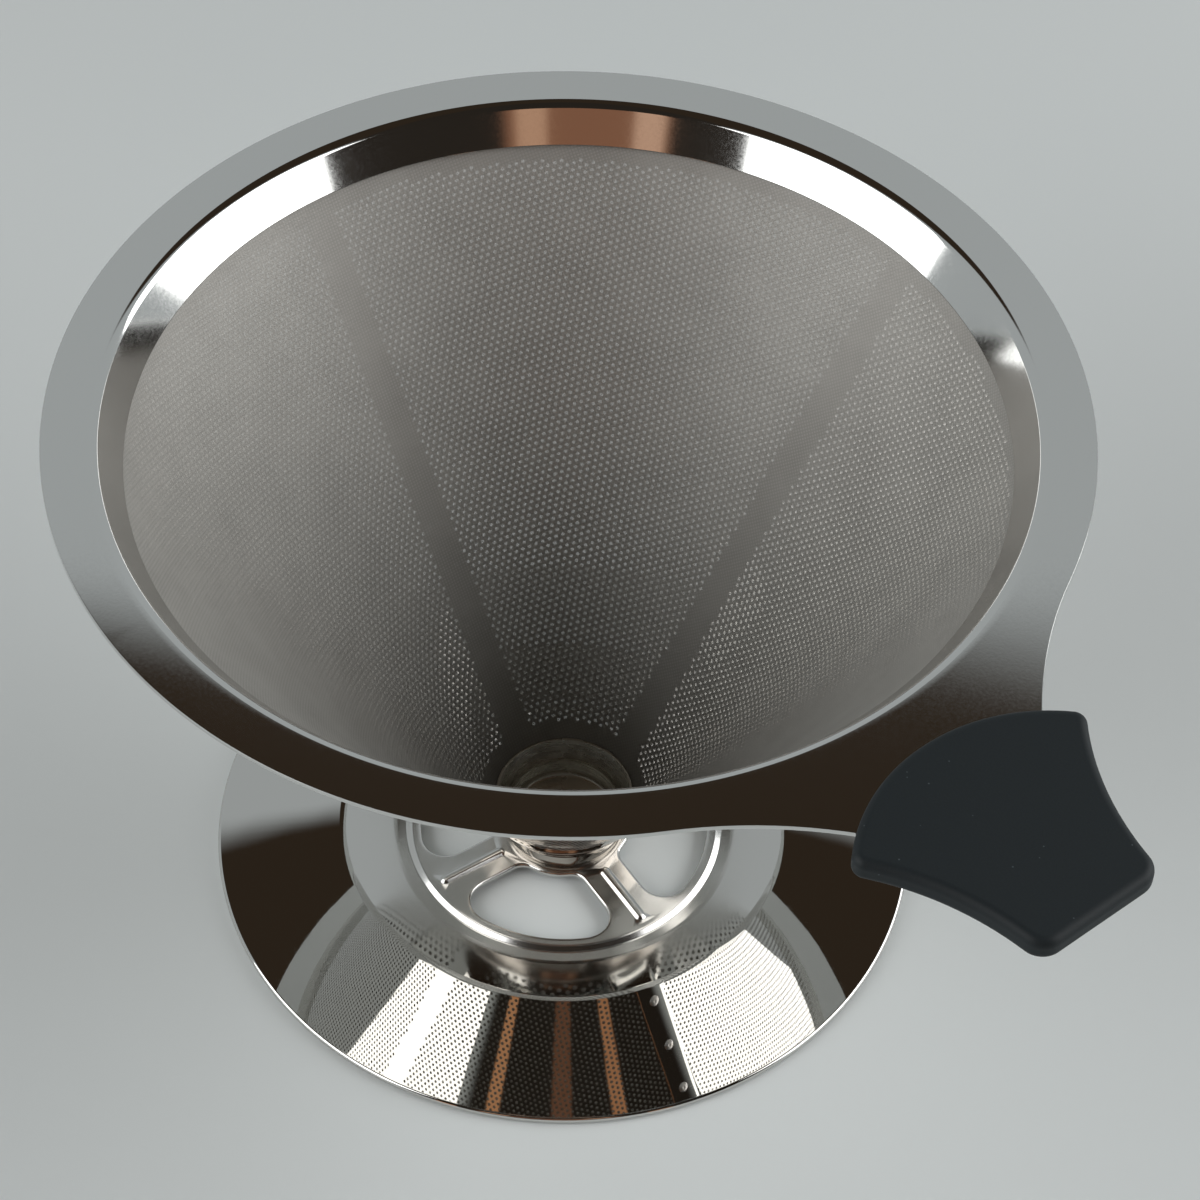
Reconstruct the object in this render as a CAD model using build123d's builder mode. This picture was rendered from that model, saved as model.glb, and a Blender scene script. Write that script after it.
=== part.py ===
from build123d import *
from math import asin, atan, cos, hypot, radians, sin, sqrt, tan
import os

# Reusable pour over dripper: a double cone of stainless steel (fine cloth inside a
# perforated sheet) hung from a pressed rim, standing on a pressed spoked stand.
# Millimetres. +Z up, origin on the axis at the plane the stand rests on, handle along +X.

# ---- driving dimensions ----
rim_radius = 62.5            # outer edge of the flange
rim_top = 82.0               # upper face of the flange
rim_sheet = 0.7              # sheet the rim and its tab are pressed from
lip_radius = 53.1            # inner edge of the rim's lower lip
lip_height = 77.3
shoulder_bend = 1.5          # outside radius where the flange turns down

cup_edge_radius = 9.3        # inside of the cloth where the bottom cup's edge meets it
cup_edge_height = 8.0
cloth_sheet = 0.25           # woven cloth
perforated_sheet = 0.35      # perforated outer cone
seat_gap = 0.02              # between sheets that lie on each other

foot_radius = 47.4           # outer edge of the stand
stand_sheet = 0.6
wheel_top = 1.8              # upper face of the flat middle of the stand
crest_radius = 30.2          # ridge between the skirt and the dished middle
crest_height = 3.2
window_inner = 9.2
window_outer = 19.6
spoke_width = 6.2
spoke_turn = -5.0            # degrees from the handle to the first spoke
spoke_count = 4

grip_thickness = 3.2
grip_clearance = 0.1         # all round between the tab and the sleeve's pocket

same_place = 0.01            # points closer than this are the same point
centre_strip = 1.0           # half width of the band that holds the points on the centre line

os.makedirs("parts", exist_ok=True)

# ---- the cone's slope, shared by the rim's lip, both cones, the cup and the ferrule ----
# The cloth passes the cup's edge and lies one rim sheet behind the lip.
cone_spread = lip_radius - cup_edge_radius
cone_rise = lip_height - cup_edge_height
lip_cover = rim_sheet + seat_gap
half_angle = atan(cone_spread / cone_rise) + asin(lip_cover / hypot(cone_spread, cone_rise))
slope = tan(half_angle)
sideways = 1 / cos(half_angle)    # radial width of a sheet one millimetre thick


def cone_radius(height, depth=0.0):
    """Radius at a height, on the surface lying depth outside the cloth's inner face."""
    return cup_edge_radius + slope * (height - cup_edge_height) + depth * sideways


def cone_height(radius, depth=0.0):
    """Height where that surface has the given radius."""
    return cup_edge_height + (radius - depth * sideways - cup_edge_radius) / slope


def conical_shell_points(low, high, inner_depth, outer_depth):
    """Corners of a cone wall's section between two heights."""
    return [
        (cone_radius(low, inner_depth), low),
        (cone_radius(high, inner_depth), high),
        (cone_radius(high, outer_depth), high),
        (cone_radius(low, outer_depth), low),
    ]


# ---- rim: flange, rolled shoulder, conical lip and the handle's tab, one pressing ----
neck_angle = 28.0            # where the tab leaves the flange's round edge
neck_end = (66.8, 14.2)      # where the neck's curve runs out under the grip
tab_half_width = 7.6
tab_shank_start = 74.0
tab_end = 89.3
tab_root_radius = 59.0
tab_corner = 3.0
tab_waist = 6.0
tab_low = rim_top - rim_sheet
shoulder_radius = lip_radius + slope * (rim_top - lip_height)


def tab_outline():
    """The tab's outline: one half from the flange to the free end, then its mirror image."""
    turn = radians(neck_angle)
    root_middle = (tab_root_radius, 0)
    root_corner = (tab_root_radius * cos(turn), tab_root_radius * sin(turn))
    rim_corner = (rim_radius * cos(turn), rim_radius * sin(turn))
    RadiusArc(root_middle, root_corner, -tab_root_radius)
    Line(root_corner, rim_corner)
    TangentArc(rim_corner, neck_end, tangent=(sin(turn), -cos(turn)))
    Polyline(neck_end, (tab_shank_start, tab_half_width), (tab_end, tab_half_width), (tab_end, 0))
    mirror(about=Plane.XZ)


with BuildPart() as rim_flange:
    with BuildSketch(Plane.XZ) as rim_section:
        with BuildLine() as rim_path:
            FilletPolyline(
                (lip_radius, lip_height),
                (shoulder_radius, rim_top),
                (rim_radius, rim_top),
                radius=shoulder_bend,
            )
            offset(amount=rim_sheet, side=Side.RIGHT)
        make_face()
    revolve(axis=Axis.Z)
    with BuildSketch(Plane.XY.offset(tab_low)) as tab_sketch:
        with BuildLine():
            tab_outline()
        make_face()
        waists = tab_sketch.vertices().filter_by(lambda v: abs(v.X - tab_shank_start) < same_place)
        fillet(waists, tab_waist)
        corners = tab_sketch.vertices().filter_by(lambda v: abs(v.X - tab_end) < same_place)
        fillet(corners.filter_by(lambda v: abs(v.Y) > centre_strip), tab_corner)
    extrude(amount=rim_sheet)

# ---- silicone grip: a moulded sleeve with a pocket for the tab ----
grip_arc_radius = 23.0
grip_mouth = 63.2            # nearest point of the sleeve to the axis
grip_end = 91.3
grip_shoulder = (70.7, 17.1)
grip_waist = (79.3, 11.7)
grip_tip_half_width = 8.7
grip_shoulder_corner = 1.6
grip_tip_corner = 2.8
grip_edge = 1.1
pocket_height = rim_sheet + 2 * grip_clearance
grip_low = rim_top - rim_sheet / 2 - grip_thickness / 2

with BuildPart() as handle_grip:
    with BuildSketch(Plane.XY.offset(grip_low)) as grip_sketch:
        with BuildLine():
            RadiusArc((grip_mouth, 0), grip_shoulder, grip_arc_radius)
            ThreePointArc(grip_shoulder, grip_waist, (grip_end, grip_tip_half_width))
            Line((grip_end, grip_tip_half_width), (grip_end, 0))
            mirror(about=Plane.XZ)
        make_face()
        shoulders = grip_sketch.vertices().filter_by(lambda v: abs(v.X - grip_shoulder[0]) < same_place)
        fillet(shoulders, grip_shoulder_corner)
        ends = grip_sketch.vertices().filter_by(lambda v: abs(v.X - grip_end) < same_place)
        fillet(ends.filter_by(lambda v: abs(v.Y) > centre_strip), grip_tip_corner)
    extrude(amount=grip_thickness)
    flat_faces = handle_grip.faces().filter_by(Axis.Z)
    fillet(flat_faces.edges(), grip_edge)
    with BuildSketch(Plane.XY.offset(tab_low - grip_clearance)) as pocket_sketch:
        with BuildLine():
            tab_outline()
        make_face()
        waists = pocket_sketch.vertices().filter_by(lambda v: abs(v.X - tab_shank_start) < same_place)
        fillet(waists, tab_waist)
        corners = pocket_sketch.vertices().filter_by(lambda v: abs(v.X - tab_end) < same_place)
        fillet(corners.filter_by(lambda v: abs(v.Y) > centre_strip), tab_corner)
        offset(amount=grip_clearance)
    extrude(amount=pocket_height, mode=Mode.SUBTRACT)

# ---- woven cloth cone, the filter itself ----
cloth_low = 6.4
cloth_high = 80.0

with BuildPart() as inner_mesh_cone:
    with BuildSketch(Plane.XZ):
        with BuildLine():
            Polyline(*conical_shell_points(cloth_low, cloth_high, 0, cloth_sheet), close=True)
        make_face()
    revolve(axis=Axis.Z)

# ---- perforated outer cone: rolled sheet whose ends lap over each other under the handle ----
sheet_low = 6.4
sheet_high = 80.2
sheet_inner_depth = cloth_sheet + seat_gap
sheet_outer_depth = sheet_inner_depth + perforated_sheet
lap_width = 5.0              # the lapped end, a plain strip with no holes
lap_low = 10.0
lap_high = 79.0
lap_inner_depth = sheet_outer_depth - seat_gap
lap_outer_depth = sheet_outer_depth + perforated_sheet

with BuildPart() as lap_cutter:
    with BuildSketch(Plane.YZ):
        with Locations((0, (lap_low + lap_high) / 2)):
            Rectangle(lap_width, lap_high - lap_low)
    extrude(amount=rim_radius)

with BuildPart() as lap_shell:
    with BuildSketch(Plane.XZ):
        with BuildLine():
            Polyline(
                *conical_shell_points(lap_low, lap_high, lap_inner_depth, lap_outer_depth),
                close=True,
            )
        make_face()
    revolve(axis=Axis.Z)
    add(lap_cutter.part, mode=Mode.INTERSECT)

with BuildPart() as outer_perforated_cone:
    with BuildSketch(Plane.XZ):
        with BuildLine():
            Polyline(
                *conical_shell_points(sheet_low, sheet_high, sheet_inner_depth, sheet_outer_depth),
                close=True,
            )
        make_face()
    revolve(axis=Axis.Z)
    add(lap_shell.part)

# ---- spot welds down the lap: low round nuggets standing on the strip ----
weld_radius = 0.9
weld_rise = 0.2
weld_pitch = 7.4
weld_first = 16.0
weld_count = 9
weld_taper = 40.0

with BuildPart() as seam_spot_welds:
    for index in range(weld_count):
        height = weld_first + weld_pitch * index
        seat = Plane(
            origin=(cone_radius(height, lap_outer_depth), 0, height),
            x_dir=(0, 1, 0),
            z_dir=(cos(half_angle), 0, -sin(half_angle)),
        )
        with BuildSketch(seat):
            Circle(weld_radius)
        extrude(amount=weld_rise, taper=weld_taper)

# ---- bottom cup: drawn cup that clamps the cloth from inside and closes the cone ----
cup_sheet = 0.4
cup_wall_radius = 7.75
cup_floor_low = 2.3
cup_bend = 1.0
cup_knee = cone_height(cup_wall_radius, -seat_gap)

with BuildPart() as bottom_cup:
    with BuildSketch(Plane.XZ):
        with BuildLine():
            FilletPolyline(
                (0, cup_floor_low),
                (cup_wall_radius, cup_floor_low),
                (cup_wall_radius, cup_knee),
                (cone_radius(cup_edge_height, -seat_gap), cup_edge_height),
                radius=cup_bend,
            )
            offset(amount=cup_sheet, side=Side.LEFT)
        make_face()
    revolve(axis=Axis.Z)

# ---- ferrule: outer cup that holds the cones' lower edge and sits on the stand ----
ferrule_sheet = 0.45
ferrule_top = 9.2
ferrule_depth = sheet_outer_depth + seat_gap + ferrule_sheet
ferrule_radius = 8.3
ferrule_bend = 1.0
ferrule_knee = cone_height(ferrule_radius, ferrule_depth)

with BuildPart() as bottom_ferrule:
    with BuildSketch(Plane.XZ):
        with BuildLine():
            FilletPolyline(
                (0, wheel_top),
                (ferrule_radius, wheel_top),
                (ferrule_radius, ferrule_knee),
                (cone_radius(ferrule_top, ferrule_depth), ferrule_top),
                radius=ferrule_bend,
            )
            offset(amount=ferrule_sheet, side=Side.LEFT)
        make_face()
    revolve(axis=Axis.Z)

# ---- stand: one pressed sheet, dished middle, ridge, shallow conical skirt, rolled foot ----
step_radius = 20.9
groove_start = 21.6
groove_end = 23.2
groove_top = 1.2
hem_height = 1.1
hem_width = 0.95
hem_inner = foot_radius - hem_height / 2 - hem_width
skirt_end = (foot_radius - hem_height / 2, hem_height)
bead_start = 9.6
bead_end = 19.8
bead_width = 1.7
bead_rise = 0.5
bead_taper = 30.0
bead_hollow_width = 1.1
bead_hollow_depth = 0.4
window_outer_corner = 3.4
window_inner_corner = 2.0

dish_points = [
    (0, wheel_top),
    (step_radius, wheel_top),
    (groove_start, groove_top),
    (groove_end, groove_top),
    (crest_radius, crest_height),
    skirt_end,
]
dish_bends = [0.4, 0.4, 3.0, 2.6]

with BuildPart() as stand:
    with BuildSketch(Plane.XZ):
        with BuildLine():
            FilletPolyline(*dish_points, radius=dish_bends)
            FilletPolyline(*[(r, z - stand_sheet) for r, z in dish_points], radius=dish_bends)
            Line((0, wheel_top), (0, wheel_top - stand_sheet))
            Line(skirt_end, (skirt_end[0], skirt_end[1] - stand_sheet))
        make_face()
    revolve(axis=Axis.Z)
    with BuildSketch(Plane.XZ):
        with Locations((hem_inner + hem_width / 2, hem_height / 2)):
            SlotCenterToCenter(hem_width, hem_height)
    revolve(axis=Axis.Z)
    with BuildSketch(Plane.XY) as window_sketch:
        Circle(window_outer)
        Circle(window_inner, mode=Mode.SUBTRACT)
        with Locations(Rotation(0, 0, spoke_turn)):
            Rectangle(2 * foot_radius, spoke_width, mode=Mode.SUBTRACT)
            Rectangle(spoke_width, 2 * foot_radius, mode=Mode.SUBTRACT)
        outer_corners = window_sketch.vertices().filter_by(
            lambda v: v.center().length > (window_inner + window_outer) / 2
        )
        fillet(outer_corners, window_outer_corner)
        inner_corners = window_sketch.vertices().filter_by(
            lambda v: v.center().length < window_inner + same_place
        )
        fillet(inner_corners, window_inner_corner)
    extrude(amount=crest_height, mode=Mode.SUBTRACT)
    with BuildSketch(Plane.XY.offset(wheel_top - stand_sheet)):
        with PolarLocations((bead_start + bead_end) / 2, spoke_count, start_angle=spoke_turn):
            SlotOverall(bead_end - bead_start, bead_hollow_width)
    extrude(amount=bead_hollow_depth, mode=Mode.SUBTRACT)
    with BuildSketch(Plane.XY.offset(wheel_top)):
        with PolarLocations((bead_start + bead_end) / 2, spoke_count, start_angle=spoke_turn):
            SlotOverall(bead_end - bead_start, bead_width)
    extrude(amount=bead_rise, taper=bead_taper)

# ---- hub rivet: joins the cup, the ferrule and the middle of the stand ----
rivet_shank = 2.0
rivet_head = 4.0
rivet_head_rise = 1.0
rivet_foot = 3.2
rivet_foot_rise = 0.7
rivet_foot_bevel = 0.5
rivet_low = wheel_top - stand_sheet
rivet_seat = cup_floor_low + cup_sheet
dome_radius = (rivet_head**2 + rivet_head_rise**2) / (2 * rivet_head_rise)
dome_middle = sqrt(dome_radius**2 - (rivet_head / 2)**2) - (dome_radius - rivet_head_rise)

with BuildPart() as hub_rivet:
    with BuildSketch(Plane.XZ):
        with BuildLine():
            Polyline(
                (0, rivet_low - rivet_foot_rise),
                (rivet_foot - rivet_foot_bevel, rivet_low - rivet_foot_rise),
                (rivet_foot, rivet_low),
                (rivet_shank, rivet_low),
                (rivet_shank, rivet_seat),
                (rivet_head, rivet_seat),
            )
            ThreePointArc(
                (rivet_head, rivet_seat),
                (rivet_head / 2, rivet_seat + dome_middle),
                (0, rivet_seat + rivet_head_rise),
            )
            Line((0, rivet_seat + rivet_head_rise), (0, rivet_low - rivet_foot_rise))
        make_face()
    revolve(axis=Axis.Z)

rivet_bore = rivet_shank + seat_gap
with BuildPart() as rivet_hole:
    with BuildSketch(Plane.XY):
        Circle(rivet_bore)
    extrude(amount=rivet_seat + rivet_head_rise)

for sheet in (bottom_cup, bottom_ferrule, stand):
    with sheet:
        add(rivet_hole.part, mode=Mode.SUBTRACT)

# ---- write each piece ----
pieces = {
    "rim_flange": rim_flange,
    "handle_grip": handle_grip,
    "inner_mesh_cone": inner_mesh_cone,
    "outer_perforated_cone": outer_perforated_cone,
    "seam_spot_welds": seam_spot_welds,
    "bottom_cup": bottom_cup,
    "bottom_ferrule": bottom_ferrule,
    "stand": stand,
    "hub_rivet": hub_rivet,
}
for name, piece in pieces.items():
    piece.part.label = name
    export_step(piece.part, f"parts/{name}.step")
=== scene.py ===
from math import asin, atan, atan2, cos, hypot, pi, radians, sin, sqrt, tan

import bmesh
import bpy
from mathutils import Matrix, Vector


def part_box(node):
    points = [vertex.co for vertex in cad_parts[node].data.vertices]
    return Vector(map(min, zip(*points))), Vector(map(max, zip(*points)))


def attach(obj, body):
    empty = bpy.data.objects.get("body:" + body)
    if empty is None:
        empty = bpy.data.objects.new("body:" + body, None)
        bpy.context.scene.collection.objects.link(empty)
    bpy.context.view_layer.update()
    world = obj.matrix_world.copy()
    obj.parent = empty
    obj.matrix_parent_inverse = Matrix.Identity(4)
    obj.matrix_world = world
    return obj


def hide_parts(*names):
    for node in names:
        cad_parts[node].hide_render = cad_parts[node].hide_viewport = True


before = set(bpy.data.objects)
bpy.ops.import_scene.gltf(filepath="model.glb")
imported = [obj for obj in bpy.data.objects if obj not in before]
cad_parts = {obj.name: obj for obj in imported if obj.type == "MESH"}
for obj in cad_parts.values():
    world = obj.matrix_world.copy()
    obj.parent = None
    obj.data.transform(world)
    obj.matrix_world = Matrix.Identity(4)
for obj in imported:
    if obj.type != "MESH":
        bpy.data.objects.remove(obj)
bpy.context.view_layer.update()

# ---- stand ----
# One disc of polished stainless sheet, pressed into a spoked web, a ridge and a shallow
# skirt, with its foot rolled under. Each spoke carries a raised bead that stiffens it.
MM = 0.001
around = 240                 # steps in a full turn of a large round piece
stand_low, stand_high = (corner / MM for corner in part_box("stand"))
foot_radius = stand_high.x
web_top = 1.8
stand_sheet = 0.6
web_join, web_edge = 20.3, 20.9     # the turned part begins in the flat, just before its bend
spoke_turn = radians(-5.0)
spoke_half_width = 3.1
window_inner, window_outer = 9.2, 19.6
window_corners = {window_inner: 2.0, window_outer: 3.4}
window_edge_round = 0.45
window_point_gap = 0.14      # points of a window's outline that lie closer are merged
bead_start, bead_end, bead_width = 9.6, 19.8, 1.7
bead_steps = [(0.16, 0.10), (0.20, 0.26), (0.20, 0.11), (0.16, 0.03)]    # inset and rise of each step
groove_start, groove_end, groove_height = 21.6, 23.2, 1.2
ridge_radius, ridge_height = 30.2, 3.2
foot_height, foot_bend, foot_width = 1.1, 0.45, 2.05
creased = 1.0                # radians; faces that turn more than this make an edge to soften


def bend_corner(bm, vertex, bend, segments):
    """Rounds one corner of a wire or an outline to a bend radius."""
    ends = [edge.other_vert(vertex).co - vertex.co for edge in vertex.link_edges]
    turn = pi - ends[0].angle(ends[1])
    return bmesh.ops.bevel(
        bm, geom=[vertex], offset=bend * tan(turn / 2), offset_type="OFFSET", segments=segments,
        profile=0.5, affect="VERTICES", material=-1,
    )


def turned(section, steps, closed=False, bend_segments=6):
    """A round piece turned about the axis, from a section of (radius, height, bend) corners."""
    bm = bmesh.new()
    corners = [bm.verts.new((radius, 0, height)) for radius, height, bend in section]
    for start, end in zip(corners, corners[1:] + corners[:1] if closed else corners[1:]):
        bm.edges.new((start, end))
    for corner, (radius, height, bend) in zip(corners, section):
        if bend:
            bend_corner(bm, corner, bend, bend_segments)
    bmesh.ops.spin(
        bm, geom=bm.verts[:] + bm.edges[:], cent=(0, 0, 0), axis=(0, 0, 1), dvec=(0, 0, 0),
        angle=2 * pi, steps=steps, use_merge=True,
    )
    return bm


def merge_into(bm, other):
    """Adds another bmesh's geometry to this one."""
    mesh = bpy.data.meshes.new("merge")
    other.to_mesh(mesh)
    other.free()
    bm.from_mesh(mesh)
    bpy.data.meshes.remove(mesh)


def piece(bm, name, body, replaced=(), flat_first=False):
    """Finishes a piece modelled in millimetres, smooth with sharp creases, and puts it on its body.

    flat_first keeps the shading of large flat faces flat up to their rounded edges."""
    bmesh.ops.remove_doubles(bm, verts=bm.verts, dist=0.0005)
    bmesh.ops.recalc_face_normals(bm, faces=bm.faces)
    bmesh.ops.scale(bm, vec=(MM, MM, MM), verts=bm.verts)
    mesh = bpy.data.meshes.new(name)
    bm.to_mesh(mesh)
    bm.free()
    mesh.shade_smooth()
    mesh.set_sharp_from_angle(angle=radians(35.0))
    made = bpy.data.objects.new(name, mesh)
    bpy.context.scene.collection.objects.link(made)
    if flat_first:
        shading = made.modifiers.new("flat faces stay flat", "WEIGHTED_NORMAL")
        shading.keep_sharp = True
    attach(made, body)
    if replaced:
        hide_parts(*replaced)
    return made


def window_outline():
    """One window of the web: a quarter ring cut parallel to its two spokes, with round corners."""
    bm = bmesh.new()
    inner = bm.verts.new((window_inner, 0, web_top))
    outer = bm.verts.new((window_outer, 0, web_top))
    edge = bm.edges.new((inner, outer))
    bmesh.ops.spin(
        bm, geom=[inner, outer, edge], cent=(0, 0, 0), axis=(0, 0, 1), dvec=(0, 0, 0),
        angle=pi / 2, steps=48,
    )
    spoke_sides = (((0, spoke_half_width, 0), (0, -1, 0)), ((spoke_half_width, 0, 0), (-1, 0, 0)))
    for side, normal in spoke_sides:
        bmesh.ops.bisect_plane(
            bm, geom=bm.verts[:] + bm.edges[:] + bm.faces[:], plane_co=side, plane_no=normal,
            clear_outer=True,
        )
    bmesh.ops.remove_doubles(bm, verts=bm.verts, dist=0.001)
    bmesh.ops.dissolve_faces(bm, faces=bm.faces[:])
    bmesh.ops.delete(bm, geom=bm.faces[:], context="FACES_ONLY")
    for radius, bend in window_corners.items():
        along = sqrt(radius**2 - spoke_half_width**2)
        for spot in ((along, spoke_half_width, web_top), (spoke_half_width, along, web_top)):
            corner = min(bm.verts, key=lambda vertex: (vertex.co - Vector(spot)).length)
            beside = [v for v in bm.verts if v != corner and (v.co - corner.co).length < 1.2 * bend]
            bmesh.ops.dissolve_verts(bm, verts=beside)
            bend_corner(bm, corner, bend, 8)
    bmesh.ops.remove_doubles(bm, verts=bm.verts, dist=window_point_gap)
    return bm


def bead_outline():
    """The round-ended outline of one spoke's bead, as a face."""
    bm = bmesh.new()
    bmesh.ops.create_grid(bm, x_segments=1, y_segments=1, size=0.5)
    bmesh.ops.scale(bm, vec=(bead_end - bead_start, bead_width, 1), verts=bm.verts)
    bmesh.ops.bevel(
        bm, geom=bm.verts[:], offset=bead_width / 2 - 0.001, offset_type="OFFSET", segments=8,
        profile=0.5, affect="VERTICES", material=-1,
    )
    bmesh.ops.remove_doubles(bm, verts=bm.verts, dist=0.02)
    bmesh.ops.translate(bm, vec=((bead_start + bead_end) / 2, 0, web_top), verts=bm.verts)
    return bm


def web():
    """The flat middle of the stand, with its four windows and four beads."""
    bm = bmesh.new()
    bmesh.ops.create_circle(bm, cap_ends=False, segments=around, radius=web_join)
    bmesh.ops.translate(bm, vec=(0, 0, web_top), verts=bm.verts)
    for outline in (window_outline, bead_outline):
        for turn in range(4):
            part = outline()
            place = Matrix.Rotation(spoke_turn + turn * pi / 2, 3, "Z")
            bmesh.ops.rotate(part, cent=(0, 0, 0), matrix=place, verts=part.verts)
            merge_into(bm, part)
    bmesh.ops.triangle_fill(bm, use_beauty=True, use_dissolve=False, edges=bm.edges[:])
    bmesh.ops.recalc_face_normals(bm, faces=bm.faces)
    if bm.faces[0].normal.z < 0:
        bmesh.ops.reverse_faces(bm, faces=bm.faces[:])
    under = bmesh.ops.extrude_face_region(bm, geom=bm.faces[:], use_keep_orig=True)["geom"]
    lower = [part for part in under if isinstance(part, bmesh.types.BMVert)]
    bmesh.ops.translate(bm, vec=(0, 0, -stand_sheet), verts=lower)
    rim_walls = [
        face for face in bm.faces if min(v.co.xy.length for v in face.verts) > web_join - 0.1
    ]
    bmesh.ops.delete(bm, geom=rim_walls, context="FACES")
    bmesh.ops.recalc_face_normals(bm, faces=bm.faces)
    half_way = web_top - stand_sheet / 2
    rims = [
        edge for edge in bm.edges
        if edge.calc_face_angle(0) > creased and min(v.co.z for v in edge.verts) > half_way
    ]
    bmesh.ops.bevel(
        bm, geom=rims, offset=window_edge_round, offset_type="OFFSET", segments=4, profile=0.5,
        affect="EDGES", material=-1,
    )
    return bm


def raise_beads(bm):
    """Lifts each bead in rounded steps, on the upper face of the web."""
    middle = (bead_start + bead_end) / 2
    for turn in range(4):
        spot = Matrix.Rotation(spoke_turn + turn * pi / 2, 3, "Z") @ Vector((middle, 0, web_top))
        face = min(
            bm.faces, key=lambda f: (f.calc_center_bounds() - spot).length + 10 * abs(f.normal.z - 1)
        )
        for inset, rise in bead_steps:
            bmesh.ops.inset_region(bm, faces=[face], thickness=inset, depth=rise, use_even_offset=True)


stand_bm = web()
raise_beads(stand_bm)
skirt_inset = foot_height / 2
skirt_drop = (ridge_height - foot_height) / (foot_radius - skirt_inset - ridge_radius)
stand_section = [
    (web_join, web_top, 0),
    (web_edge, web_top, 0.4),
    (groove_start, groove_height, 0.4),
    (groove_end, groove_height, 3.0),
    (ridge_radius, ridge_height, 2.6),
    (foot_radius, foot_height - skirt_inset * skirt_drop, foot_bend),
    (foot_radius, 0, foot_bend),
    (foot_radius - foot_width, 0, 0.4),
    (foot_radius - foot_width, foot_height - stand_sheet + 1.5 * skirt_drop, 0.15),
    (ridge_radius, ridge_height - stand_sheet, 2.6),
    (groove_end, groove_height - stand_sheet, 3.0),
    (groove_start, groove_height - stand_sheet, 0.4),
    (web_edge, web_top - stand_sheet, 0.4),
    (web_join, web_top - stand_sheet, 0),
]
merge_into(stand_bm, turned(stand_section, around))
stand = piece(stand_bm, "stand_pressing", "dripper", ["stand"], flat_first=True)


def linear(hex_colour):
    """An sRGB hex colour as the linear colour that a shader takes."""
    channels = [int(hex_colour[start:start + 2], 16) / 255 for start in (1, 3, 5)]
    return (*[c / 12.92 if c <= 0.04045 else ((c + 0.055) / 1.055) ** 2.4 for c in channels], 1)


def add_node(tree, kind, inputs=None, **settings):
    """Adds a node with its settings; inputs gives each socket a value or the output that feeds it."""
    made = tree.nodes.new(kind)
    for setting, value in settings.items():
        setattr(made, setting, value)
    for socket, value in (inputs or {}).items():
        if isinstance(value, bpy.types.NodeSocket):
            tree.links.new(value, made.inputs[socket])
        else:
            made.inputs[socket].default_value = value
    return made


def finish_material(name, base):
    """A new material with its Principled shader, and the tree that holds it."""
    material = bpy.data.materials.new(name)
    material.use_nodes = True
    shader = material.node_tree.nodes["Principled BSDF"]
    for socket, value in base.items():
        shader.inputs[socket].default_value = value
    return material, material.node_tree, shader


# Polished stainless, buffed to a mirror: cool white metal, almost no blur, with the fine
# swirls of the buffing wheel and the slight waviness that pressing leaves. The wheel doesn't
# reach into the pressed middle, so the web and the groove blur what they mirror.
buff_swirl = 0.6             # width of a buffing mark, millimetres
press_wave = 9.0             # length of the waviness, millimetres


def polished_stainless():
    material, tree, shader = finish_material(
        "polished_stainless", {"Base Color": linear("#D2D1CE"), "Metallic": 1.0, "Roughness": 0.015}
    )
    place = add_node(tree, "ShaderNodeTexCoord").outputs["Object"]
    swirl = add_node(tree, "ShaderNodeTexNoise", {
        "Vector": place, "Scale": 1 / (buff_swirl * MM), "Detail": 3.0, "Distortion": 1.5,
    })
    rough = add_node(tree, "ShaderNodeMapRange", {
        "Value": swirl.outputs["Fac"], "From Min": 0.35, "From Max": 0.75,
        "To Min": 0.010, "To Max": 0.035,
    })
    level = add_node(tree, "ShaderNodeMapping", {"Vector": place, "Scale": (1.0, 1.0, 0.0)})
    radius = add_node(
        tree, "ShaderNodeVectorMath", {0: level.outputs["Vector"]}, operation="LENGTH"
    ).outputs["Value"]
    pressed = add_node(tree, "ShaderNodeMapRange", {
        "Value": radius, "From Min": web_join * MM, "From Max": ridge_radius * MM,
        "To Min": 0.16, "To Max": 0.0,
    })
    total = add_node(tree, "ShaderNodeMath", {
        0: rough.outputs["Result"], 1: pressed.outputs["Result"],
    }, operation="ADD")
    wave = add_node(tree, "ShaderNodeTexNoise", {
        "Vector": place, "Scale": 1 / (press_wave * MM), "Detail": 1.0,
    })
    bump = add_node(tree, "ShaderNodeBump", {
        "Height": wave.outputs["Fac"], "Strength": 0.10, "Distance": 0.0001,
    })
    tree.links.new(total.outputs[0], shader.inputs["Roughness"])
    tree.links.new(bump.outputs["Normal"], shader.inputs["Normal"])
    return material


stand.data.materials.append(polished_stainless())

# ---- bottom ferrule ----
# A small drawn cup of stainless that holds the lower edge of both cones from outside. It
# stands on the middle of the web and flares with the cone at its top.
cloth_low, cloth_high = (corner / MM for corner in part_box("inner_mesh_cone"))
cup_edge_radius, cup_edge_height = 9.3, 8.0     # where the cup's edge meets the cloth
cloth_sheet, perforated_sheet = 0.25, 0.35
cone_reach = cloth_high.x - cup_edge_radius
cone_rise = cloth_high.z - cup_edge_height
half_angle = atan(cone_reach / cone_rise) - asin(cloth_sheet / hypot(cone_reach, cone_rise))
slope = tan(half_angle)
sheet_gap = 0.02
ferrule_sheet = 0.45
ferrule_radius = 8.3
small_around = 120           # steps in a full turn of a small round piece


def cone_radius(height, depth=0.0):
    """Radius at a height on the surface that lies depth outside the cloth's inner face."""
    return cup_edge_radius + slope * (height - cup_edge_height) + depth / cos(half_angle)


def cone_height(radius, depth=0.0):
    """Height where that surface has the given radius."""
    return cup_edge_height + (radius - depth / cos(half_angle) - cup_edge_radius) / slope


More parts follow.
